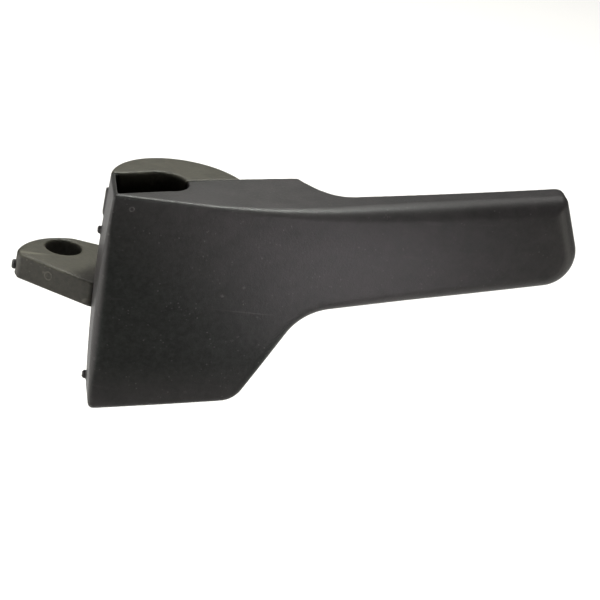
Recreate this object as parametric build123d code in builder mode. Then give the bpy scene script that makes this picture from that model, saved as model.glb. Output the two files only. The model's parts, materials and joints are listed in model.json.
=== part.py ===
from build123d import *
from math import cos, radians, sin, sqrt
import os

os.makedirs("parts", exist_ok=True)

# Release lever of a car door handle.
# Z is the pivot axis, X runs along the grip and +Y points into the door.
# The origin is on the pivot axis, at mid height of the barrel end. Millimetres.

# Driving dimensions: the outside of the lever
top_z = 25.0
left_x = -11.5
front_y = -11.5
front_radius = 1000.0
grip_depth = 8.2
grip_slope = 8.3
end_x = 95.2
wall = 2.2
gap = 0.2
reach_y = 40.0
reach_z = 60.0

# Driving dimensions: the pivot
sleeve_radius = 3.5
sleeve_bore_radius = 2.65
bush_radius = 5.2
running_gap = 0.05
barrel_radius = 7.7
pocket_floor_z = 9.0
barrel_low_z = -7.5
lower_barrel_top_z = -17.5
lower_barrel_low_z = -22.4
foot_z = -24.6

# Driving dimensions: flanges and crank tab
flange_radius = 15.7
flange_centre = (3.8, -1.7)
flange_thickness = 3.0
lower_flange_radius = 13.0
pocket_floor_thickness = 2.5
tab_top_z = -1.5
tab_thickness = 6.0
tab_hole_centre = (-17.5, 19.1)
tab_hole_radius = 4.1

# Driving dimensions: fasteners, spring and bumpers
screw_radius = 1.4
screw_head_radius = 2.7
screw_head_height = 1.6
boss_radius = 3.3
wire_radius = 0.6
coil_radius = 5.0
coil_pitch = 1.35
rib_width = 1.5


def front_surface_y(x):
    """Depth of the crowned front surface at x."""
    return front_y + front_radius - sqrt(front_radius**2 - (x - left_x) ** 2)


def rear_surface_y(x):
    """Depth of the back of the grip at x."""
    return front_surface_y(x) + grip_depth


# Front view of the lever: barrel end, slanted lower edge, long grip.
slope = radians(grip_slope)
top_bend_x = 7.0
top_bend_radius = 225.0
bend_end = (top_bend_x + top_bend_radius * sin(slope), top_z + top_bend_radius * (1 - cos(slope)))
grip_top_x = 86.6
grip_top_end = (grip_top_x, bend_end[1] + (grip_top_x - bend_end[0]) * sin(slope) / cos(slope))
left_bulge = (-11.4, -4.0)
low_left = (-9.5, -26.3)
low_corner = (21.6, -20.8)
inner_corner = (33.3, 2.0)
grip_low_end = (end_x, 14.4)

with BuildSketch(Plane.XZ) as front_view:
    with BuildLine():
        Line((left_x, top_z), (top_bend_x, top_z))
        TangentArc((top_bend_x, top_z), bend_end, tangent=(1, 0))
        Line(bend_end, grip_top_end)
        Polyline(grip_top_end, grip_low_end, inner_corner, low_corner, low_left)
        ThreePointArc(low_left, left_bulge, (left_x, top_z))
    make_face()
    for point, radius in (
        (inner_corner, 12),
        (low_corner, 6),
        (grip_low_end, 7.5),
        (grip_top_end, 3),
    ):
        fillet(front_view.vertices().sort_by_distance(point)[0], radius)

# Plan view of the cover: crowned front, thin grip, deeper body behind the pivot.
plan_end_x = end_x + 6
plan_start_x = left_x - 2
grip_start_x = 41.0
grip_middle_x = 70.0
body_corner = (29.8, 8.1)
seam_right = (17.0, 5.6)
seam_left = (5.5, 1.6)
left_rear_y = 1.2

with BuildSketch(Plane.XY) as plan_view:
    with BuildLine():
        ThreePointArc(
            (plan_start_x, front_surface_y(plan_start_x)),
            (grip_start_x, front_surface_y(grip_start_x)),
            (plan_end_x, front_surface_y(plan_end_x)),
        )
        Line(
            (plan_end_x, front_surface_y(plan_end_x)),
            (plan_end_x, rear_surface_y(plan_end_x)),
        )
        ThreePointArc(
            (plan_end_x, rear_surface_y(plan_end_x)),
            (grip_middle_x, rear_surface_y(grip_middle_x)),
            (grip_start_x, rear_surface_y(grip_start_x)),
        )
        TangentArc((grip_start_x, rear_surface_y(grip_start_x)), body_corner, tangent=(-1, 0))
        ThreePointArc(body_corner, seam_right, seam_left)
        Line(seam_left, (plan_start_x, left_rear_y))
        Line((plan_start_x, left_rear_y), (plan_start_x, front_surface_y(plan_start_x)))
    make_face()


def shrunk(view, plane, amount):
    """The outline of a view, moved inwards by amount all round."""
    with BuildSketch(plane) as smaller:
        add(view.sketch)
        offset(amount=-amount)
    return smaller.sketch


def behind_front(distance):
    """Plan region that starts at distance behind the front surface."""
    far_y = 30.0
    with BuildSketch(Plane.XY) as region:
        with BuildLine():
            ThreePointArc(
                (plan_start_x, front_surface_y(plan_start_x) + distance),
                (grip_start_x, front_surface_y(grip_start_x) + distance),
                (plan_end_x, front_surface_y(plan_end_x) + distance),
            )
            Polyline(
                (plan_end_x, front_surface_y(plan_end_x) + distance),
                (plan_end_x, far_y),
                (plan_start_x, far_y),
                (plan_start_x, front_surface_y(plan_start_x) + distance),
            )
        make_face()
    return region.sketch


def seam_y(x):
    """Depth of the rear edge of the cover between the pivot and the body corner."""
    share = (x - seam_left[0]) / (body_corner[0] - seam_left[0])
    bulge = 1.2
    return seam_left[1] + share * (body_corner[1] - seam_left[1]) + 4 * bulge * share * (1 - share)


# Cavity of the cover, open towards the door.
with BuildPart() as cavity:
    extrude(shrunk(front_view, Plane.XZ, wall), amount=reach_y, both=True)
    extrude(behind_front(wall), amount=reach_z, both=True, mode=Mode.INTERSECT)

# Pocket over the pivot: a round well with a slot that runs out to the left.
pocket_angle = radians(203)
pocket_length = 24.0
pocket_half_width = 5.05
pocket_left_wall = 0.9
pocket_front_wall = 1.3
pocket_wall = 1.6
far_side = 60.0


def slot_outline(half_width):
    """A slot in plan that runs out from the pivot axis to the left."""
    along = (pocket_length * cos(pocket_angle), pocket_length * sin(pocket_angle))
    across = (-half_width * sin(pocket_angle), half_width * cos(pocket_angle))
    with BuildSketch(Plane.XY) as outline:
        with BuildLine():
            Polyline(
                across,
                (across[0] + along[0], across[1] + along[1]),
                (along[0] - across[0], along[1] - across[1]),
                (-across[0], -across[1]),
                close=True,
            )
        make_face()
    return outline.sketch


with BuildSketch(Plane.XY.offset(pocket_floor_z)) as pocket_view:
    add(slot_outline(pocket_half_width))
    Circle(bush_radius)
    with Locations((left_x + pocket_left_wall, front_y + pocket_front_wall)):
        Rectangle(far_side, far_side, align=(Align.MIN, Align.MIN), mode=Mode.INTERSECT)

# Block that the slot is cut from: inside the cover it stays clear of the left wall.
pocket_block_left_x = -8.4
with BuildSketch(Plane.XY.offset(pocket_floor_z - pocket_floor_thickness)) as pocket_block_view:
    add(slot_outline(pocket_half_width + pocket_wall))
    add(behind_front(wall + gap), mode=Mode.INTERSECT)
    with Locations((pocket_block_left_x, left_rear_y + gap)):
        Rectangle(far_side, far_side, align=(Align.MAX, Align.MAX), mode=Mode.SUBTRACT)
    with Locations((left_x + gap, 0)):
        Rectangle(far_side, 2 * far_side, align=(Align.MAX, Align.CENTER), mode=Mode.SUBTRACT)

# Cover screws: place in the front view; each goes in from the door side.
screw_places = ((21.0, 16.0), (15.0, -13.5), (23.0, 1.5))
screw_seat_depth = 1.9
boss_end_depth = 5.6
front_edge_radius = 2.5
foot_clearance_radius = 8.3
foot_clearance_top_z = -14.0
cover_screw_bore_length = 7.0

with BuildPart() as front_cover:
    extrude(front_view.sketch, amount=reach_y, both=True)
    extrude(plan_view.sketch, amount=reach_z, both=True, mode=Mode.INTERSECT)
    front_face = front_cover.faces().sort_by(Axis.Y)[0]
    fillet(front_face.edges(), front_edge_radius)
    add(cavity.part, mode=Mode.SUBTRACT)
    for x, z in screw_places:
        with BuildSketch(Plane.XZ.offset(boss_end_depth - seam_y(x))):
            with Locations((x, z)):
                Circle(boss_radius)
        extrude(amount=seam_y(x) - boss_end_depth - front_surface_y(x) - wall / 2)
        with BuildSketch(Plane.XZ.offset(boss_end_depth - seam_y(x))):
            with Locations((x, z)):
                Circle(screw_radius + running_gap)
        extrude(amount=cover_screw_bore_length, mode=Mode.SUBTRACT)
    extrude(pocket_view.sketch, amount=reach_z, mode=Mode.SUBTRACT)
    with BuildSketch(Plane.XY.offset(-reach_z)):
        Circle(foot_clearance_radius)
        with Locations((0, foot_clearance_radius)):
            Rectangle(2 * foot_clearance_radius, 2 * foot_clearance_radius)
    extrude(amount=reach_z + foot_clearance_top_z, mode=Mode.SUBTRACT)

front_cover.part.label = "front_cover"
export_step(front_cover.part, "parts/front_cover.step")

# Carrier: a ribbed plate inside the cover, with the pivot barrels, flanges and crank tab.
plate_recess = 2.0
plate_thickness = 2.0
plate_front_distance = plate_recess + plate_thickness + 0.1
rib_recess = 0.6
rib_overlap = 0.5
with BuildSketch(Plane.XY) as plate_view:
    add(shrunk(plan_view, Plane.XY, plate_recess))
    add(shrunk(plan_view, Plane.XY, plate_recess + plate_thickness), mode=Mode.SUBTRACT)
    add(behind_front(plate_front_distance), mode=Mode.INTERSECT)
with BuildSketch(Plane.XY) as rib_view:
    add(shrunk(plan_view, Plane.XY, rib_recess))
    add(shrunk(plan_view, Plane.XY, plate_recess + rib_overlap), mode=Mode.SUBTRACT)
    add(behind_front(plate_front_distance), mode=Mode.INTERSECT)

grip_rib_places = range(40, 88, 8)
grip_long_rib = Location((61, 20.5, 0), (0, 0, 9.5))
grip_long_rib_length = 64.0
body_rib_places = ((11, 0), (32, 0))
body_cross_rib_places = ((20, 8.5), (15, -18.0))
body_cross_rib_length = 26.0
with BuildSketch(Plane.XZ) as rib_pattern:
    for x in grip_rib_places:
        with Locations((x, 0)):
            Rectangle(rib_width, 2 * reach_z)
    with Locations(grip_long_rib):
        Rectangle(grip_long_rib_length, rib_width)
    with Locations(*body_rib_places):
        Rectangle(rib_width, 2 * reach_z)
    with Locations(*body_cross_rib_places):
        Rectangle(body_cross_rib_length, rib_width)

with BuildPart() as ribs:
    extrude(rib_view.sketch, amount=reach_z, both=True)
    extrude(shrunk(front_view, Plane.XZ, wall + gap), amount=reach_y, both=True, mode=Mode.INTERSECT)
    extrude(rib_pattern.sketch, amount=reach_y, both=True, mode=Mode.INTERSECT)


def flange_outline(radius):
    """A disc in plan, cut back to the rear edge of the cover."""
    with BuildSketch(Plane.XY) as outline:
        with Locations(flange_centre):
            Circle(radius)
        with Locations((0, left_rear_y + gap)):
            Rectangle(far_side, far_side, align=(Align.CENTER, Align.MIN), mode=Mode.INTERSECT)
        add(shrunk(plan_view, Plane.XY, -gap), mode=Mode.SUBTRACT)
    return outline.sketch


# Crank tab outline in plan: a blunt round tip and a broad root on the barrel.
tab_tip = (-28.0, 14.6)
tab_tip_mid = (-23.6, 21.7)
tab_far_shoulder = (-15.0, 24.8)
tab_step_y = left_rear_y + 0.25
tab_sides = (
    tab_far_shoulder,
    (-9.4, 23.1),
    (10.0, 9.0),
    (8.0, 0.0),
    (-7.0, -2.0),
    (-7.0, tab_step_y),
    (left_x - 0.3, tab_step_y),
    (-27.4, 12.3),
    tab_tip,
)
with BuildSketch(Plane.XY.offset(tab_top_z - tab_thickness)) as tab_view:
    with BuildLine():
        ThreePointArc(tab_tip, tab_tip_mid, tab_far_shoulder)
        Polyline(*tab_sides)
    make_face()
    with Locations(tab_hole_centre):
        Circle(tab_hole_radius, mode=Mode.SUBTRACT)

# Rubber bumpers: one on the plate for the rest position, one on the tip of the tab.
rest_bumper_x = 20.5
rest_bumper_z = -7.0
bumper_stem_radius = 1.5
tab_bumper_radius = 1.1
tab_bumper_drop = 4.0
tab_bumper_plane = Plane(origin=(-26.9, 15.6, tab_top_z - tab_bumper_drop), z_dir=(-1, 0, 0))

spring_zone_radius = 7.2
barrel_top_z = top_z - flange_thickness + 0.3
door_side_y = 20.0
screw_hole_play = 0.15
screw_head_play = 0.3
screw_seat_height = 1.6
screw_hole_length = 26.0
head_room = 4.0
with BuildPart() as rear_carrier:
    extrude(plate_view.sketch, amount=reach_z, both=True)
    extrude(shrunk(front_view, Plane.XZ, wall + gap), amount=reach_y, both=True, mode=Mode.INTERSECT)
    add(ribs.part)
    for x, z in screw_places:
        with BuildSketch(Plane.XZ.offset(screw_seat_depth - seam_y(x))):
            with Locations((x, z)):
                Circle(boss_radius)
        extrude(amount=screw_seat_height)
    extrude(tab_view.sketch, amount=tab_thickness)
    with BuildSketch(Plane.XY.offset(barrel_low_z)):
        Circle(barrel_radius)
    extrude(amount=barrel_top_z - barrel_low_z)
    with BuildSketch(Plane.XY.offset(lower_barrel_low_z)):
        Circle(barrel_radius)
    extrude(amount=lower_barrel_top_z - lower_barrel_low_z)
    extrude(flange_outline(flange_radius).moved(Location((0, 0, top_z))), amount=-flange_thickness)
    extrude(
        flange_outline(lower_flange_radius).moved(Location((0, 0, lower_barrel_low_z))),
        amount=flange_thickness,
    )
    extrude(
        pocket_block_view.sketch,
        amount=barrel_top_z - pocket_floor_z + pocket_floor_thickness,
    )
    # Room for the lower bush and the spring, and the bores
    with BuildSketch(Plane.XY.offset(lower_barrel_low_z)):
        Circle(foot_clearance_radius)
    extrude(amount=-reach_z, mode=Mode.SUBTRACT)
    with BuildSketch(Plane.XY.offset(lower_barrel_top_z)):
        Circle(spring_zone_radius)
    extrude(amount=barrel_low_z - lower_barrel_top_z, mode=Mode.SUBTRACT)
    with BuildSketch(Plane.XY):
        Circle(bush_radius)
    extrude(amount=reach_z, both=True, mode=Mode.SUBTRACT)
    extrude(pocket_view.sketch, amount=reach_z, mode=Mode.SUBTRACT)
    for x, z in screw_places:
        with BuildSketch(Plane.XZ.offset(-door_side_y)):
            with Locations((x, z)):
                Circle(screw_radius + screw_hole_play)
        extrude(amount=screw_hole_length, mode=Mode.SUBTRACT)
        with BuildSketch(Plane.XZ.offset(screw_seat_depth - seam_y(x))):
            with Locations((x, z)):
                Circle(screw_head_radius + screw_head_play)
        extrude(amount=-head_room, mode=Mode.SUBTRACT)

    # Holes for the two rubber bumpers
    with BuildSketch(Plane.XZ.offset(-door_side_y)):
        with Locations((rest_bumper_x, rest_bumper_z)):
            Circle(bumper_stem_radius + running_gap)
    extrude(amount=screw_hole_length, mode=Mode.SUBTRACT)
    with BuildSketch(tab_bumper_plane):
        Circle(tab_bumper_radius + running_gap)
    extrude(amount=far_side, mode=Mode.SUBTRACT)

rear_carrier.part.label = "rear_carrier"
export_step(rear_carrier.part, "parts/rear_carrier.step")

# Steel sleeve that the door bracket clamps, and that the lever turns on.
sleeve_top_z = 11.5
spring_low_z = -16.3
ring_low_z = 9.8
ring_thickness = 0.7
groove_radius = 3.1
groove_play = 0.05
tang_hole_radius = 0.75
sleeve_edge = 0.3
press_gap = 0.02
with BuildPart() as pivot_sleeve:
    with BuildSketch(Plane.XY.offset(foot_z)):
        Circle(sleeve_radius)
    extrude(amount=sleeve_top_z - foot_z)
    chamfer(pivot_sleeve.edges().filter_by(GeomType.CIRCLE).sort_by(Axis.Z)[-1], sleeve_edge)
    with BuildSketch(Plane.XY.offset(ring_low_z - groove_play)):
        Circle(sleeve_radius + 1)
        Circle(groove_radius, mode=Mode.SUBTRACT)
    extrude(amount=ring_thickness + 2 * groove_play, mode=Mode.SUBTRACT)
    with BuildSketch(Plane.XY.offset(foot_z)):
        Circle(sleeve_bore_radius)
    extrude(amount=sleeve_top_z - foot_z, mode=Mode.SUBTRACT)
    with BuildSketch(Plane.YZ):
        with Locations((0, spring_low_z)):
            Circle(tang_hole_radius)
    extrude(amount=sleeve_radius + 1, mode=Mode.SUBTRACT)

pivot_sleeve.part.label = "pivot_sleeve"
export_step(pivot_sleeve.part, "parts/pivot_sleeve.step")

# Washer under the lower bush: the face that stands on the door bracket.
foot_thickness = 0.9
foot_radius = 7.6
foot_edge = 0.2
with BuildPart() as foot_washer:
    with BuildSketch(Plane.XY.offset(foot_z)):
        Circle(foot_radius)
        Circle(sleeve_radius + press_gap, mode=Mode.SUBTRACT)
    extrude(amount=foot_thickness)
    chamfer(foot_washer.edges().filter_by(GeomType.CIRCLE).sort_by(SortBy.RADIUS)[-2:], foot_edge)

foot_washer.part.label = "foot_washer"
export_step(foot_washer.part, "parts/foot_washer.step")

# Thrust washer and open retaining ring that hold the lever on the sleeve.
ring_radius = 4.8
thrust_washer_thickness = 0.6
ring_opening = 4.0
ring_notch = 1.2
with BuildPart() as thrust_washer:
    with BuildSketch(Plane.XY.offset(pocket_floor_z + running_gap)):
        Circle(ring_radius)
        Circle(sleeve_radius + running_gap, mode=Mode.SUBTRACT)
    extrude(amount=thrust_washer_thickness)

thrust_washer.part.label = "thrust_washer"
export_step(thrust_washer.part, "parts/thrust_washer.step")

with BuildPart() as retaining_ring:
    with BuildSketch(Plane.XY.offset(ring_low_z)):
        Circle(ring_radius)
        Circle(groove_radius + press_gap, mode=Mode.SUBTRACT)
        with Locations((0, ring_radius)):
            Rectangle(ring_opening, ring_radius, mode=Mode.SUBTRACT)
        with Locations((0, -ring_radius)):
            Rectangle(ring_notch, ring_notch, mode=Mode.SUBTRACT)
    extrude(amount=ring_thickness)

retaining_ring.part.label = "retaining_ring"
export_step(retaining_ring.part, "parts/retaining_ring.step")

# Plain bushes pressed into the two barrels.
upper_bush_length = 8.0
bush_flange_radius = 7.0
bush_flange_thickness = 1.0
lower_bush_length = 4.6
bush_fit = 0.01
with BuildPart() as upper_bush:
    with BuildSketch(Plane.XY.offset(pocket_floor_z - upper_bush_length)):
        Circle(bush_radius - bush_fit)
        Circle(sleeve_radius + running_gap, mode=Mode.SUBTRACT)
    extrude(amount=upper_bush_length)

upper_bush.part.label = "upper_bush"
export_step(upper_bush.part, "parts/upper_bush.step")

with BuildPart() as lower_bush:
    with BuildSketch(Plane.XY.offset(lower_barrel_low_z - bush_flange_thickness)):
        Circle(bush_radius - bush_fit)
    extrude(amount=lower_bush_length + bush_flange_thickness)
    with BuildSketch(Plane.XY.offset(lower_barrel_low_z - bush_flange_thickness)):
        Circle(bush_flange_radius)
    extrude(amount=bush_flange_thickness - press_gap)
    with BuildSketch(Plane.XY):
        Circle(sleeve_radius + running_gap)
    extrude(amount=reach_z, both=True, mode=Mode.SUBTRACT)

lower_bush.part.label = "lower_bush"
export_step(lower_bush.part, "parts/lower_bush.step")

# Torsion spring between the barrels: the lower tang sits in the sleeve,
# the upper leg presses on the front of the carrier plate and turns the lever back.
full_turns = 5
last_turn = 288.0
coil_height = (full_turns + last_turn / 360) * coil_pitch
leg_angle = radians(last_turn)
leg_length = 12.2
tang_end_x = 2.9
leg_radius = wire_radius + 0.02
leg_overlap = 0.4
tang_overlap = 0.15
coil_top_z = spring_low_z + coil_height
leg_start = (coil_radius * cos(leg_angle), coil_radius * sin(leg_angle), coil_top_z)
leg_direction = (-sin(leg_angle), cos(leg_angle), 0)
with BuildPart() as return_spring:
    with BuildLine():
        Helix(pitch=coil_pitch, height=coil_height, radius=coil_radius, center=(0, 0, spring_low_z))
    with BuildSketch(Plane(origin=(coil_radius, 0, spring_low_z), z_dir=(0, 1, 0))):
        Circle(wire_radius)
    sweep()
    with BuildSketch(Plane(origin=(coil_radius + tang_overlap, 0, spring_low_z), z_dir=(-1, 0, 0))):
        Circle(leg_radius)
    extrude(amount=coil_radius + tang_overlap - tang_end_x)
    with BuildSketch(Plane(origin=leg_start, z_dir=leg_direction).offset(-leg_overlap)):
        Circle(leg_radius)
    extrude(amount=leg_length + leg_overlap)

return_spring.part.label = "return_spring"
export_step(return_spring.part, "parts/return_spring.step")

# Self-tapping screws that pull the cover against the carrier, from the door side.
shank_length = 9.0
shank_overlap = 0.1
cross_length = 2.8
cross_width = 0.7
cross_depth = 0.9
with BuildPart() as cover_screws:
    for x, z in screw_places:
        seat = Plane.XZ.offset(screw_seat_depth - press_gap - seam_y(x))
        with BuildSketch(seat):
            with Locations((x, z)):
                Circle(screw_head_radius)
        extrude(amount=-screw_head_height)
        with BuildSketch(seat.offset(-shank_overlap)):
            with Locations((x, z)):
                Circle(screw_radius)
        extrude(amount=shank_length)
        with BuildSketch(seat.offset(-screw_head_height)):
            with Locations((x, z)):
                Rectangle(cross_length, cross_width)
                Rectangle(cross_width, cross_length)
        extrude(amount=cross_depth, mode=Mode.SUBTRACT)

cover_screws.part.label = "cover_screws"
export_step(cover_screws.part, "parts/cover_screws.step")

# Rubber bumper on the door side of the plate, held by its stem.
bumper_head_radius = 3.2
bumper_stand_out = 1.5
bumper_seat_depth = 1.5
bumper_edge_radius = 0.8
bumper_stem_length = 4.0
bumper_stem_overlap = 0.2
bumper_head_plane = Plane.XZ.offset(bumper_seat_depth - seam_y(rest_bumper_x))
with BuildPart() as rest_bumper:
    with BuildSketch(bumper_head_plane):
        with Locations((rest_bumper_x, rest_bumper_z)):
            Circle(bumper_head_radius)
    extrude(amount=-bumper_seat_depth - bumper_stand_out)
    fillet(rest_bumper.edges().sort_by(Axis.Y)[-1], bumper_edge_radius)
    with BuildSketch(bumper_head_plane.offset(-bumper_stem_overlap)):
        with Locations((rest_bumper_x, rest_bumper_z)):
            Circle(bumper_stem_radius)
    extrude(amount=bumper_stem_length)

rest_bumper.part.label = "rest_bumper"
export_step(rest_bumper.part, "parts/rest_bumper.step")

tab_bumper_length = 1.7
tab_bumper_edge_radius = 0.5
with BuildPart() as tab_bumper:
    with BuildSketch(tab_bumper_plane.offset(running_gap)):
        Circle(tab_bumper_radius)
    extrude(amount=tab_bumper_length)
    fillet(tab_bumper.edges().sort_by(Axis.X)[0], tab_bumper_edge_radius)

tab_bumper.part.label = "tab_bumper"
export_step(tab_bumper.part, "parts/tab_bumper.step")

# Foam pads that keep the cover from rattling on the plate inside the grip.
pad_places = ((52.0, 17.5), (66.0, 19.88), (80.0, 22.26))
pad_size = (8, 10)
pad_corner_radius = 2
pad_clearance = 0.1
with BuildSketch(Plane.XY) as pad_layer:
    add(behind_front(wall + pad_clearance))
    add(behind_front(grip_depth - plate_recess - plate_thickness - pad_clearance), mode=Mode.SUBTRACT)
with BuildPart() as rattle_pads:
    extrude(pad_layer.sketch, amount=reach_z, both=True)
    with BuildSketch(Plane.XZ):
        with Locations(*pad_places):
            RectangleRounded(*pad_size, pad_corner_radius)
    extrude(amount=reach_y, both=True, mode=Mode.INTERSECT)

rattle_pads.part.label = "rattle_pads"
export_step(rattle_pads.part, "parts/rattle_pads.step")
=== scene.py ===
import json
from math import cos, pi, radians, sin, tan

import bpy
import numpy as np
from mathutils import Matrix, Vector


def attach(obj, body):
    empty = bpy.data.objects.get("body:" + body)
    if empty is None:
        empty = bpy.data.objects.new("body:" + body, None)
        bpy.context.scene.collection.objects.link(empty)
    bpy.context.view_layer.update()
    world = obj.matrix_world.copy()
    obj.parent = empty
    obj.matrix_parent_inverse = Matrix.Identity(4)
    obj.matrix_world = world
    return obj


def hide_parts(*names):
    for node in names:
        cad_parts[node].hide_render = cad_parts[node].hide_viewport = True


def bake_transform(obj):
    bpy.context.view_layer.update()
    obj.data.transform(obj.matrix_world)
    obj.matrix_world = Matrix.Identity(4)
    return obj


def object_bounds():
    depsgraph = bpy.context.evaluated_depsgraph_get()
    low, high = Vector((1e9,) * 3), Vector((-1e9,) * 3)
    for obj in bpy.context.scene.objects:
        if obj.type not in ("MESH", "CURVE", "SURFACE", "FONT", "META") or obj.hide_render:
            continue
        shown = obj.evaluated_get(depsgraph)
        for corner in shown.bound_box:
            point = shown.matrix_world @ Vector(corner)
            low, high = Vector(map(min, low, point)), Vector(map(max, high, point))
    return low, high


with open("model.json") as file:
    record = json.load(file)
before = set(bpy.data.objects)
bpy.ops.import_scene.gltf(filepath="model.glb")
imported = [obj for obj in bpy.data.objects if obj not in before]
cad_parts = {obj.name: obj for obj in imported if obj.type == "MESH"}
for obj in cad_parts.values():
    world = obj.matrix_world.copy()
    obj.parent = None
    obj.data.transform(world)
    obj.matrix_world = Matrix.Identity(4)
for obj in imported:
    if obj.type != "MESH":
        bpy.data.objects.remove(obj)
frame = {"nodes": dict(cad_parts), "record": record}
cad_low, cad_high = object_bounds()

import openvdb
from mathutils import Quaternion, Vector

scene = bpy.context.scene
nodes = frame["nodes"]
MM = 0.001


# ---------------------------------------------------------------- camera, floor and lights

CAMERA_TURN = radians(12)
CAMERA_TILT = radians(24)
CAMERA_ROLL = radians(11.5)
CAMERA_DISTANCE = 0.5
CAMERA_TARGET = Vector((0.0345, 0.0017, 0.0))
CLIP_START, CLIP_END = 0.01, 20.0
FLOOR_DROP, FLOOR_HALF_WIDTH = 0.16, 6.0
FLOOR_COLOUR, FLOOR_ROUGHNESS, FLOOR_SPECULAR = (0.92, 0.92, 0.91, 1), 0.9, 0.1
ROOM_STRENGTH = 0.1
SENSOR_WIDTH = 36.0
PICTURE_WIDTH = 0.1332


def make_camera():
    """A long lens, a little left of the lever and above it, rolled so that the grip lies almost level."""
    look = Vector((
        sin(CAMERA_TURN) * cos(CAMERA_TILT),
        cos(CAMERA_TURN) * cos(CAMERA_TILT),
        -sin(CAMERA_TILT),
    ))
    data = bpy.data.cameras.new("camera")
    data.sensor_width = SENSOR_WIDTH
    data.lens = SENSOR_WIDTH * CAMERA_DISTANCE / PICTURE_WIDTH
    data.clip_start, data.clip_end = CLIP_START, CLIP_END
    camera = bpy.data.objects.new("camera", data)
    scene.collection.objects.link(camera)
    camera.location = CAMERA_TARGET - CAMERA_DISTANCE * look
    camera.rotation_mode = "QUATERNION"
    camera.rotation_quaternion = look.to_track_quat("-Z", "Y") @ Quaternion((0, 0, 1), CAMERA_ROLL)
    scene.camera = camera


def make_floor():
    """A wide pale floor, well below the lever."""
    mesh = bpy.data.meshes.new("floor")
    w, z = FLOOR_HALF_WIDTH, cad_low.z - FLOOR_DROP
    mesh.from_pydata([(-w, -w, z), (w, -w, z), (w, w, z), (-w, w, z)], [], [(0, 1, 2, 3)])
    floor = bpy.data.objects.new("floor", mesh)
    scene.collection.objects.link(floor)
    material = bpy.data.materials.new("floor_paper")
    material.use_nodes = True
    shader = material.node_tree.nodes["Principled BSDF"]
    shader.inputs["Base Color"].default_value = FLOOR_COLOUR
    shader.inputs["Roughness"].default_value = FLOOR_ROUGHNESS
    shader.inputs["Specular IOR Level"].default_value = FLOOR_SPECULAR
    mesh.materials.append(material)


def area_light(name, place, aim, width, height, power, colour, spread=180):
    """A rectangular soft box at place, pointing at aim; spread is the width of its beam in degrees."""
    data = bpy.data.lights.new(name, "AREA")
    data.shape = "RECTANGLE"
    data.size, data.size_y = width, height
    data.energy = power
    data.color = colour
    data.spread = radians(spread)
    light = bpy.data.objects.new(name, data)
    scene.collection.objects.link(light)
    light.location = place
    light.rotation_euler = (Vector(aim) - Vector(place)).to_track_quat("-Z", "Y").to_euler()


def make_lights():
    """A large soft box overhead, a pale wall in front, smaller lights round the lever and a dim room."""
    area_light("top_box", (0.05, 0.44, 0.97), (0.05, 0.45, 0.0), 1.4, 0.8, 21.0, (1.0, 0.99, 0.96))
    area_light(
        "edge_box", (0.06, -0.03, 0.55), (-0.026, -0.012, 0.025),
        0.12, 0.12, 0.13, (0.95, 1.0, 0.94), 11,
    )
    area_light("front_box", (0.1, -1.0, 0.50), (0.03, 0.0, 0.1), 1.5, 1.2, 4.0, (1.0, 0.99, 0.98))
    area_light(
        "low_box", (0.120, -0.205, -0.060), (0.040, -0.010, 0.008),
        0.05, 0.04, 0.0052, (1.0, 0.95, 0.99), 18,
    )
    area_light("left_box", (-0.60, 0.0, -0.05), (-0.01, 0.0, 0.0), 0.3, 0.3, 3.4, (1.0, 0.99, 0.95))
    area_light("right_box", (0.55, -0.17, -0.10), (0.09, 0.0, 0.02), 0.3, 0.3, 1.3, (1.0, 0.97, 0.88))
    area_light("back_box", (0.05, 0.95, 0.44), (0.03, 0.0, 0.0), 0.7, 0.3, 0.25, (0.97, 1.0, 0.96))
    world = bpy.data.worlds.new("world")
    world.use_nodes = True
    background = world.node_tree.nodes["Background"]
    background.inputs["Color"].default_value = (1.0, 1.0, 1.0, 1)
    background.inputs["Strength"].default_value = ROOM_STRENGTH
    scene.world = world
    scene.view_settings.view_transform = "Standard"


make_camera()
make_floor()
make_lights()


# ---------------------------------------------------------------- materials

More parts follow.
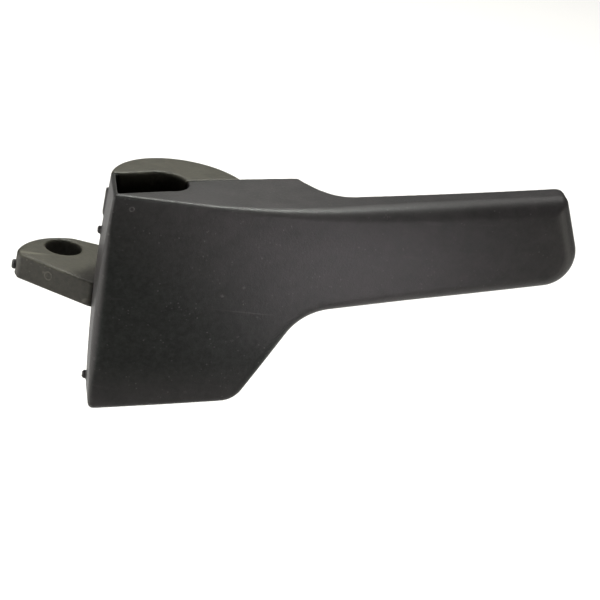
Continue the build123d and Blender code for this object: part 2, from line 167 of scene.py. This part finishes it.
class Material:
    """A small helper that adds and joins shader nodes."""

    def __init__(self, name):
        self.material = bpy.data.materials.new(name)
        self.material.use_nodes = True
        self.tree = self.material.node_tree
        self.shader = self.tree.nodes["Principled BSDF"]
        self.place = self.node("ShaderNodeTexCoord").outputs["Object"]

    def node(self, kind, **settings):
        made = self.tree.nodes.new(kind)
        for key, value in settings.items():
            setattr(made, key, value)
        return made

    def join(self, source, target):
        self.tree.links.new(source, target)

    def noise(self, scale, detail=4.0, roughness=0.55, stretch=None):
        """A noise pattern in object space; scale is in features per metre."""
        made = self.node("ShaderNodeTexNoise")
        made.inputs["Scale"].default_value = scale
        made.inputs["Detail"].default_value = detail
        made.inputs["Roughness"].default_value = roughness
        place = self.place
        if stretch:
            mapping = self.node("ShaderNodeMapping")
            mapping.inputs["Rotation"].default_value = stretch[0]
            mapping.inputs["Scale"].default_value = stretch[1]
            self.join(self.place, mapping.inputs["Vector"])
            place = mapping.outputs["Vector"]
        self.join(place, made.inputs["Vector"])
        return made.outputs["Fac"]

    def cells(self, scale):
        """Distance to scattered points."""
        made = self.node("ShaderNodeTexVoronoi")
        made.inputs["Scale"].default_value = scale
        self.join(self.place, made.inputs["Vector"])
        return made.outputs["Distance"]

    def spread(self, value, low, high, to_low=0.0, to_high=1.0):
        """Maps value from low..high to to_low..to_high."""
        made = self.node("ShaderNodeMapRange")
        self.join(value, made.inputs["Value"])
        limits = (("From Min", low), ("From Max", high), ("To Min", to_low), ("To Max", to_high))
        for key, number in limits:
            made.inputs[key].default_value = number
        return made.outputs["Result"]

    def slope(self, direction, low, high):
        """Rises from 0 to 1 along a direction, between two distances from the origin."""
        made = self.node("ShaderNodeVectorMath", operation="DOT_PRODUCT")
        made.inputs[1].default_value = direction
        self.join(self.place, made.inputs[0])
        return self.spread(made.outputs["Value"], low, high)

    def ring(self, centre, radius, line):
        """1 on a thin circle round a point, 0 elsewhere."""
        made = self.node("ShaderNodeVectorMath", operation="DISTANCE")
        made.inputs[1].default_value = centre
        self.join(self.place, made.inputs[0])
        away = self.maths("ABSOLUTE", self.maths("SUBTRACT", made.outputs["Value"], radius), 0.0)
        return self.spread(away, line / 2, line, 1.0, 0.0)

    def blend(self, factor, first, second):
        """Mixes two colours by a factor."""
        made = self.node("ShaderNodeMix", data_type="RGBA")
        for source, key in ((factor, 0), (first, 6), (second, 7)):
            if isinstance(source, (tuple, float)):
                made.inputs[key].default_value = source
            else:
                self.join(source, made.inputs[key])
        return made.outputs[2]

    def maths(self, kind, first, second):
        """The result of one operation on two values."""
        made = self.node("ShaderNodeMath", operation=kind)
        for source, key in ((first, 0), (second, 1)):
            if isinstance(source, float):
                made.inputs[key].default_value = source
            else:
                self.join(source, made.inputs[key])
        return made.outputs["Value"]

    def bump(self, height, distance, after=None):
        """A normal that follows a height, in metres, on top of another bump."""
        made = self.node("ShaderNodeBump")
        made.inputs["Distance"].default_value = distance
        made.inputs["Strength"].default_value = 1.0
        self.join(height, made.inputs["Height"])
        if after is not None:
            self.join(after, made.inputs["Normal"])
        return made.outputs["Normal"]


SCRATCH_TURN, SCRATCH_STRETCH = (0.2, 0.75, 0.3), (0.05, 1.0, 1.0)
# Reach of the painted shade in recesses, and the depths of the grain and the marks
PAINTED_SHADE_REACH, GRAIN_DEPTH, MARK_DEPTH = 0.016, 0.00004, 0.00003


def shaded(colour, share):
    """The colour times share, still opaque."""
    return tuple(share * c for c in colour[:3]) + (1.0,)


def moulded_plastic(name, dark, light, dust_and_sheen, roughness, specular, wear_and_sheen_places=None, rings=()):
    """Matte moulded plastic: mottled colour, fine grain, lighter places that are partly wear and partly
    painted sheen, sharp edges lightened as wear and painted highlight, specks, scratches, and painted shade
    in recesses.
    """
    m = Material(name)
    colour = m.blend(m.spread(m.noise(900, 6, 0.75), 0.38, 0.62), dark, light)
    wear_and_sheen = m.spread(m.noise(260, 8, 0.8), 0.32, 0.68, 0.45, 1.0)
    # Lighter places: the mottle is kept only along the listed directions and lightens the colour there,
    # partly wear and partly painted sheen and painted bounce light
    if wear_and_sheen_places:
        place = m.slope(*wear_and_sheen_places[0])
        for other in wear_and_sheen_places[1:]:
            place = m.maths("MAXIMUM", place, m.slope(*other))
        wear_and_sheen = m.maths("MULTIPLY", wear_and_sheen, place)
        colour = m.blend(wear_and_sheen, colour, dust_and_sheen)
        rough = m.spread(wear_and_sheen, 0.0, 1.0, roughness, roughness + 0.08)
    else:
        colour = m.blend(m.spread(wear_and_sheen, 0.6, 1.0, 0.0, 0.3), colour, dust_and_sheen)
        rough = m.spread(wear_and_sheen, 0.6, 1.0, roughness, roughness + 0.06)
    # Sharp edges are lightened: partly rubbed edge wear, partly a painted highlight along the edges; the same
    # light colour also serves the specks, scratches and rings
    sharp = m.node("ShaderNodeNewGeometry").outputs["Pointiness"]
    sharp = m.spread(sharp, 0.545, 0.62, 0.0, 0.5)
    edge_wear_and_highlight = m.maths("MULTIPLY", sharp, m.spread(m.noise(500, 5), 0.35, 0.65))
    highlight_and_mark_colour = shaded(dust_and_sheen, 2.6)
    colour = m.blend(edge_wear_and_highlight, colour, highlight_and_mark_colour)
    specks = m.spread(m.cells(900), 0.0, 0.22, 1.0, 0.0)
    specks = m.maths("MULTIPLY", specks, m.spread(m.noise(230, 3), 0.50, 0.60))
    scratches = m.spread(m.noise(420, 2, stretch=(SCRATCH_TURN, SCRATCH_STRETCH)), 0.66, 0.74)
    lines = m.maths("MULTIPLY", scratches, m.spread(m.noise(60, 1), 0.45, 0.6))
    marks = m.maths("MAXIMUM", m.maths("MULTIPLY", specks, 0.7), m.maths("MULTIPLY", lines, 0.5))
    for centre, radius, line in rings:
        broken = m.spread(m.noise(1400, 3), 0.35, 0.65, 0.1, 0.7)
        ring = m.maths("MULTIPLY", m.ring(centre, radius, line), broken)
        marks = m.maths("MAXIMUM", marks, ring)
    colour = m.blend(marks, colour, highlight_and_mark_colour)
    # Painted shade: ambient occlusion darkens the colour nearly to black and dims the specular in recesses
    # and between parts
    shade = m.node("ShaderNodeAmbientOcclusion", samples=8)
    shade.inputs["Distance"].default_value = PAINTED_SHADE_REACH
    outside_painted_shade = m.spread(shade.outputs["AO"], 0.38, 0.80)
    m.join(m.blend(outside_painted_shade, shaded(dark, 0.1), colour), m.shader.inputs["Base Color"])
    m.join(m.maths("MULTIPLY", outside_painted_shade, specular), m.shader.inputs["Specular IOR Level"])
    uneven = m.spread(m.noise(1800, 3), 0.3, 0.7, -0.03, 0.04)
    m.join(m.maths("ADD", rough, uneven), m.shader.inputs["Roughness"])
    grain = m.bump(m.noise(2200, 4, 0.7), GRAIN_DEPTH)
    m.join(m.bump(marks, MARK_DEPTH, after=grain), m.shader.inputs["Normal"])
    return m.material


def metal(name, base, roughness):
    """Plated or drawn steel with fine lines and faint stains."""
    m = Material(name)
    stain = m.spread(m.noise(300, 5), 0.35, 0.7)
    m.join(m.blend(stain, base, shaded(base, 0.6)), m.shader.inputs["Base Color"])
    m.shader.inputs["Metallic"].default_value = 1.0
    uneven = m.spread(m.noise(1500, 3), 0.3, 0.7, roughness - 0.08, roughness + 0.1)
    m.join(uneven, m.shader.inputs["Roughness"])
    lines = m.noise(900, 2, stretch=((0, 0, 0), (1.0, 1.0, 12.0)))
    m.join(m.bump(lines, 0.00001), m.shader.inputs["Normal"])
    return m.material


def soft_black(name, base, grain_scale, grain_depth):
    """Rubber or foam: dull, with a cellular surface."""
    m = Material(name)
    mottle = m.spread(m.noise(400, 4), 0.3, 0.7)
    m.join(m.blend(mottle, base, shaded(base, 1.7)), m.shader.inputs["Base Color"])
    m.join(m.spread(m.noise(1200, 2), 0.3, 0.7, 0.62, 0.85), m.shader.inputs["Roughness"])
    m.join(m.bump(m.cells(grain_scale), grain_depth), m.shader.inputs["Normal"])
    return m.material


def paint(thing, material):
    thing.data.materials.clear()
    thing.data.materials.append(material)


cover_plastic = moulded_plastic(
    "cover_plastic", (0.0010, 0.0016, 0.0010, 1), (0.0072, 0.0084, 0.0072, 1),
    (0.025, 0.0225, 0.0230, 1), 0.40, 0.17,
    # Lighter places on the cover: painted sheen towards the upper right front, painted bounce light along the
    # bottom and on the left side, with a wear mottle
    wear_and_sheen_places=(
        ((0.47, -0.45, 0.88), 0.008, 0.030),
        ((0.12, 0.0, -1.0), 0.014, 0.025),
        ((-1.0, 0.0, -0.04), 0.0098, 0.0108),
    ),
    rings=(((-0.00736, -0.01149, 0.02215), 0.0006, 0.00015),),
)
carrier_plastic = moulded_plastic(
    "carrier_plastic", (0.013, 0.0118, 0.0088, 1), (0.025, 0.0228, 0.0170, 1),
    (0.038, 0.0352, 0.028, 1), 0.5, 0.20,
    rings=(((-0.02094, 0.00781, -0.00398), 0.0009, 0.0002),),
)
bush_plastic = moulded_plastic(
    "bush_plastic", (0.50, 0.48, 0.42, 1), (0.62, 0.60, 0.54, 1), (0.35, 0.32, 0.27, 1), 0.4, 0.5
)
sleeve_steel = metal("sleeve_steel", (0.55, 0.54, 0.50, 1), 0.32)
spring_steel = metal("spring_steel", (0.32, 0.31, 0.29, 1), 0.36)
screw_steel = metal("screw_steel", (0.50, 0.50, 0.48, 1), 0.34)
rubber = soft_black("rubber", (0.012, 0.012, 0.012, 1), 1800, 0.00003)
foam = soft_black("foam", (0.03, 0.03, 0.032, 1), 2600, 0.0001)

finishes = {
    "cover_plastic": cover_plastic,
    "carrier_plastic": carrier_plastic,
    "bush_plastic": bush_plastic,
    "sleeve_steel": sleeve_steel,
    "spring_steel": spring_steel,
    "screw_steel": screw_steel,
    "rubber": rubber,
    "foam": foam,
}
for subpart in frame["record"]["subparts"]:
    paint(nodes[subpart["node"]], finishes[subpart["material_slot"]])


# ---------------------------------------------------------------- shapes from distance fields, in millimetres

class Field:
    """A block of evenly spaced sample points, and the signed distance (negative inside) at each of them."""

    def __init__(self, low, high, step):
        self.low, self.step = np.floor(np.array(low) / step).astype(int), step
        self.count = np.ceil(np.array(high) / step).astype(int) - self.low + 1
        axes = [(self.low[i] + np.arange(self.count[i])) * step for i in range(3)]
        self.x = axes[0][:, None, None].astype(np.float32)
        self.y = axes[1][None, :, None].astype(np.float32)
        self.z = axes[2][None, None, :].astype(np.float32)

    def surface(self, name, distance):
        """A closed mesh on the zero surface of distance, in metres."""
        band = 3 * self.step
        grid = openvdb.FloatGrid(band)
        grid.transform = openvdb.createLinearTransform(voxelSize=self.step)
        values = np.ascontiguousarray(np.clip(distance, -band, band), dtype=np.float32)
        grid.copyFromArray(values, ijk=tuple(int(i) for i in self.low))
        points, quads = grid.convertToQuads(0.0)
        return mesh_object(name, points * MM, quads[:, ::-1], smooth=True)


def mesh_object(name, points, faces, smooth):
    """A mesh object from arrays of points and of faces."""
    mesh = bpy.data.meshes.new(name)
    mesh.from_pydata(points.tolist(), [], faces.tolist())
    mesh.validate()
    mesh.update()
    mesh.polygons.foreach_set("use_smooth", np.full(len(mesh.polygons), smooth))
    made = bpy.data.objects.new(name, mesh)
    scene.collection.objects.link(made)
    return made


def inside_both(a, b, radius):
    """Distance to what two shapes share, with the edge between them rounded to radius."""
    corner = np.sqrt(np.maximum(a + radius, 0) ** 2 + np.maximum(b + radius, 0) ** 2)
    return np.minimum(np.maximum(a, b), -radius) + corner


def inside_either(a, b, radius):
    """Distance to two shapes joined, with a fillet of radius in the corner between them."""
    return -inside_both(-a, -b, radius)


def arc(centre, radius, start, end, steps):
    """Points on an arc, angles in degrees."""
    turn = np.radians(np.linspace(start, end, steps))
    return [(centre[0] + radius * np.cos(t), centre[1] + radius * np.sin(t)) for t in turn]


def round_corner(before, corner, after, radius, steps=14):
    """The points that replace a sharp corner by an arc of radius."""
    before, corner, after = (np.array(p, float) for p in (before, corner, after))
    to_before = (before - corner) / np.linalg.norm(before - corner)
    to_after = (after - corner) / np.linalg.norm(after - corner)
    half = np.arccos(np.clip(to_before @ to_after, -1, 1)) / 2
    start = corner + to_before * radius / np.tan(half)
    end = corner + to_after * radius / np.tan(half)
    middle = to_before + to_after
    centre = corner + middle / np.linalg.norm(middle) * radius / np.sin(half)
    first, last = start - centre, end - centre
    full = pi - 2 * half
    share = np.linspace(0, 1, steps)
    return [
        tuple(centre + (first * np.sin((1 - t) * full) + last * np.sin(t * full)) / np.sin(full))
        for t in share
    ]


def outline_distance(points, u, v):
    """Signed distance from each (u, v) to a closed outline, negative inside."""
    points = np.array(points, float)
    nearest = np.full(np.broadcast(u, v).shape, np.inf)
    inside = np.zeros(nearest.shape, bool)
    for (u0, v0), (u1, v1) in zip(points, np.roll(points, -1, axis=0)):
        du, dv = u1 - u0, v1 - v0
        share = np.clip(((u - u0) * du + (v - v0) * dv) / max(du * du + dv * dv, 1e-12), 0, 1)
        nearest = np.minimum(nearest, (u - u0 - share * du) ** 2 + (v - v0 - share * dv) ** 2)
        if v0 != v1:
            crosses = (v0 > v) != (v1 > v)
            inside ^= crosses & (u < u0 + (v - v0) * du / dv)
    distance = np.sqrt(nearest)
    return np.where(inside, -distance, distance)


# Driving dimensions of the lever, the same as in the CAD design
TOP_Z, LEFT_X, FRONT_Y = 25.0, -11.5, -11.5
FRONT_RADIUS, GRIP_DEPTH, GRIP_SLOPE = 1000.0, 8.6, radians(8.3)
TOP_BEND_X, TOP_BEND_RADIUS = 7.0, 225.0
GRIP_TOP_X, GRIP_END_X, GRIP_END_Z = 87.4, 95.6, 14.4
INNER_CORNER, LOW_CORNER, LOW_LEFT = (33.5, 1.6), (22.1, -21.4), (-9.5, -27.3)
LEFT_BULGE = 1.0
LEFT_SLOPE = 0.04
# Where the edges soften along the grip, and the rounding of each edge
SOFT_START_X, SOFT_END_X, LOW_START_Z, LOW_END_Z = 2.0, 62.0, -6.0, -16.0
CROWN_WIDTH, CROWN_LEFT, CROWN_GRIP, CROWN_LOW = 13.0, 0.25, 0.35, 0.4
EDGE_LEFT, EDGE_GRIP, EDGE_LOW, EDGE_LEFT_SIDE = 0.75, 2.9, 0.5, 1.9
REAR_EDGE, REAR_EDGE_GRIP = 0.4, 0.8
HOLLOW_CORNER, MOUTH_EDGE, BOSS_EDGE, BOSS_FILLET, POCKET_EDGE = 1.2, 0.3, 0.3, 0.6, 0.35
LUG_EDGE, LUG_FILLET = 0.3, 0.2
VOXEL = 0.36
BEND_POINT, BEND_NORMAL, BEND_SLOPE, BEND_WIDTH = (13.0, 14.5), (0.47, 0.88), 0.036, 8.0
BODY_CORNER, SEAM_LEFT, GRIP_START_X, LEFT_REAR_Y = (30.2, 8.6), (5.5, 1.6), 41.0, 1.2
SEAM_BULGE = 1.2
WALL = 2.2
POCKET_ANGLE, POCKET_HALF_WIDTH, POCKET_RADIUS, POCKET_FLOOR_Z = radians(203), 5.05, 5.2, 9.0
POCKET_LEFT_WALL, POCKET_FRONT_WALL = 0.9, 1.3
SCREW_PLACES = ((21.0, 16.0), (15.0, -13.5), (23.0, 1.5))
BOSS_RADIUS, SCREW_BORE, BOSS_END_DEPTH = 3.3, 1.45, 5.6
FOOT_RADIUS, FOOT_TOP_Z = 8.3, -14.0
# Small lugs and nubs on the rear edge at the left: centre and half size of each
LEFT_LUGS = (
    ((-11.4, 1.7, 18.0), (0.6, 0.9, 3.0)),
    ((-12.0, 1.3, 11.4), (0.5, 0.7, 0.8)),
    ((-10.1, 1.5, -23.9), (0.7, 0.7, 0.9)),
)


def front_y(x):
    """Depth of the crowned front surface at x."""
    return FRONT_Y + FRONT_RADIUS - np.sqrt(FRONT_RADIUS**2 - (x - LEFT_X) ** 2)


def seam_y(x):
    """Depth of the rear edge of the cover between the pivot and the body corner."""
    share = (x - SEAM_LEFT[0]) / (BODY_CORNER[0] - SEAM_LEFT[0])
    return SEAM_LEFT[1] + share * (BODY_CORNER[1] - SEAM_LEFT[1]) + 4 * SEAM_BULGE * share * (1 - share)


def front_outline():
    """The lever seen from the front: barrel end, slanted lower edge and long grip, as (x, z)."""
    bend_end_x = TOP_BEND_X + TOP_BEND_RADIUS * sin(GRIP_SLOPE)
    bend_end_z = TOP_Z + TOP_BEND_RADIUS * (1 - cos(GRIP_SLOPE))
    top_end = (GRIP_TOP_X, bend_end_z + (GRIP_TOP_X - bend_end_x) * tan(GRIP_SLOPE))
    low_end = (GRIP_END_X, GRIP_END_Z)
    top_left = (LEFT_X, TOP_Z)
    centre = (TOP_BEND_X, TOP_Z + TOP_BEND_RADIUS)
    bend = arc(centre, TOP_BEND_RADIUS, -90, -90 + np.degrees(GRIP_SLOPE), 24)
    t = np.linspace(0, 1, 24)
    left_x = LOW_LEFT[0] + t * (LEFT_X - LOW_LEFT[0]) - 4 * LEFT_BULGE * t * (1 - t)
    left = list(zip(left_x, LOW_LEFT[1] + t * (TOP_Z - LOW_LEFT[1])))
    return (
        left[2:-2]
        + round_corner(left[-2], top_left, bend[0], 1.0)
        + bend
        + round_corner(bend[-1], top_end, low_end, 2.4)
        + round_corner(top_end, low_end, INNER_CORNER, 7.5, 24)
        + round_corner(low_end, INNER_CORNER, LOW_CORNER, 12.0, 24)
        + round_corner(INNER_CORNER, LOW_CORNER, LOW_LEFT, 6.0)
        + round_corner(LOW_CORNER, LOW_LEFT, left[1], 1.2)
    )


def rear_outline():
    """What lies in front of the rear surface of the lever, in plan, as (x, y)."""
    far = 60.0
    grip_rear = front_y(GRIP_START_X) + GRIP_DEPTH
    slope = (front_y(GRIP_START_X + 1) - front_y(GRIP_START_X - 1)) / 2
    seam = [(x, seam_y(x)) for x in np.linspace(SEAM_LEFT[0], BODY_CORNER[0], 16)]
    reach = BODY_CORNER[0] - GRIP_START_X
    rise = BODY_CORNER[1] - grip_rear - slope * reach
    shoulder = [
        (x, grip_rear + slope * (x - GRIP_START_X) + rise * ((x - GRIP_START_X) / reach) ** 2)
        for x in np.linspace(BODY_CORNER[0], GRIP_START_X, 16)[1:]
    ]
    grip = [(x, front_y(x) + GRIP_DEPTH) for x in np.linspace(GRIP_START_X, GRIP_END_X + far, 24)[1:]]
    front = [(GRIP_END_X + far, -far), (LEFT_X - far, -far)]
    return [(LEFT_X - far, LEFT_REAR_Y)] + seam + shoulder + grip + front


def ease(value, low, high):
    """0 below low, 1 above high and smooth between them."""
    share = np.clip((value - low) / (high - low), 0, 1)
    return share * share * (3 - 2 * share)


def build_front_cover():
    """The moulded outer shell: crowned front, edges that soften towards the grip, hollow back."""
    field = Field((LEFT_X - 2, FRONT_Y - 2, -28.5), (GRIP_END_X + 2, 12, 36), VOXEL)
    x, y, z = field.x, field.y, field.z
    edge = outline_distance(front_outline(), x, z)
    rear = outline_distance(rear_outline(), x, y)
    along = ease(x, SOFT_START_X, SOFT_END_X)
    low_side = ease(-z, -LOW_START_Z, -LOW_END_Z)
    crown = CROWN_LEFT + CROWN_GRIP * along + CROWN_LOW * low_side
    crown = crown * (1 - np.clip(-edge / CROWN_WIDTH, 0, 1)) ** 2
    lean = (BEND_POINT[0] - x) * BEND_NORMAL[0] + (BEND_POINT[1] - z) * BEND_NORMAL[1]
    lean = BEND_SLOPE * (lean + np.sqrt(lean * lean + BEND_WIDTH**2)) / 2
    front = front_y(x) + crown + lean - y
    edge_radius = EDGE_LEFT + EDGE_GRIP * along * (1 - low_side) + EDGE_LOW * low_side
    left_side = 1 - ease(x + z * LEFT_SLOPE, LEFT_X + 2.0, LEFT_X + 7.0)
    edge_radius = edge_radius + EDGE_LEFT_SIDE * left_side * ease(-z, -23.0, 2.0) * ease(z, -24.0, -8.0)
    shell = inside_both(edge, front, edge_radius)
    shell = inside_both(shell, rear, REAR_EDGE + REAR_EDGE_GRIP * along)

    hollow = inside_both(edge + WALL, front_y(x) + lean + WALL - y, HOLLOW_CORNER)
    shell = inside_both(shell, -hollow, MOUTH_EDGE)
    for boss_x, boss_z in SCREW_PLACES:
        across = np.sqrt((x - boss_x) ** 2 + (z - boss_z) ** 2)
        face_y = front_y(boss_x) + lean
        length = np.maximum(y - seam_y(boss_x) + BOSS_END_DEPTH, face_y + WALL / 2 - y)
        boss = inside_both(across - BOSS_RADIUS, length, BOSS_EDGE)
        shell = inside_either(shell, boss, BOSS_FILLET)
        shell = np.maximum(shell, -np.maximum(across - SCREW_BORE, face_y + WALL - y))

    along_slot = x * cos(POCKET_ANGLE) + y * sin(POCKET_ANGLE)
    across_slot = np.abs(-x * sin(POCKET_ANGLE) + y * cos(POCKET_ANGLE))
    slot = np.maximum(across_slot - POCKET_HALF_WIDTH, -along_slot)
    pocket = np.minimum(slot, np.sqrt(x * x + y * y) - POCKET_RADIUS)
    pocket = np.maximum(pocket, LEFT_X + POCKET_LEFT_WALL - x)
    pocket = np.maximum(pocket, FRONT_Y + POCKET_FRONT_WALL - y)
    pocket = np.maximum(pocket, POCKET_FLOOR_Z - z)
    shell = inside_both(shell, -pocket, POCKET_EDGE)

    foot = np.sqrt(x * x + np.minimum(y, 0) ** 2) - FOOT_RADIUS
    foot = np.maximum(foot, z - FOOT_TOP_Z)
    shell = inside_both(shell, -foot, MOUTH_EDGE)

    for centre, half in LEFT_LUGS:
        away = [abs(p - c) - h for p, c, h in zip((x, y, z), centre, half)]
        lug = inside_both(inside_both(away[0], away[1], LUG_EDGE), away[2], LUG_EDGE)
        shell = inside_either(shell, lug, LUG_FILLET)

    cover = field.surface("sculpted_cover", shell)
    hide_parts("front_cover")
    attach(cover, "lever")
    return cover


def softened_copy(name, node, body, step):
    """A CAD node with its hard edges eased, as a moulding has them."""
    mesh = nodes[node].data
    points = np.zeros(len(mesh.vertices) * 3, np.float32)
    mesh.vertices.foreach_get("co", points)
    points = points.reshape(-1, 3) / MM
    mesh.calc_loop_triangles()
    corners = np.zeros(len(mesh.loop_triangles) * 3, np.int32)
    mesh.loop_triangles.foreach_get("vertices", corners)
    grid = openvdb.FloatGrid.createLevelSetFromPolygons(
        points, triangles=corners.reshape(-1, 3).astype(np.uint32),
        transform=openvdb.createLinearTransform(voxelSize=step), halfWidth=4.0,
    )
    field = Field(points.min(0) - 1, points.max(0) + 1, step)
    values = np.full(tuple(field.count), 4 * step, np.float32)
    grid.copyToArray(values, ijk=tuple(int(i) for i in field.low))
    for axis in range(3):
        values = (np.roll(values, 1, axis) + 2 * values + np.roll(values, -1, axis)) / 4
    copy = field.surface(name, values)
    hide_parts(node)
    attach(copy, body)
    return copy


def build_spring():
    """A copy of the return spring in place of the CAD node, with its placement baked into its points."""
    source = nodes["return_spring"]
    spring = bpy.data.objects.new("twisting_spring", source.data.copy())
    scene.collection.objects.link(spring)
    spring.matrix_world = source.matrix_world.copy()
    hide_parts("return_spring")
    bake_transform(spring)
    return spring


build_spring()
cover = build_front_cover()
carrier = softened_copy("softened_carrier", "rear_carrier", "lever", VOXEL)
paint(cover, cover_plastic)
paint(carrier, carrier_plastic)
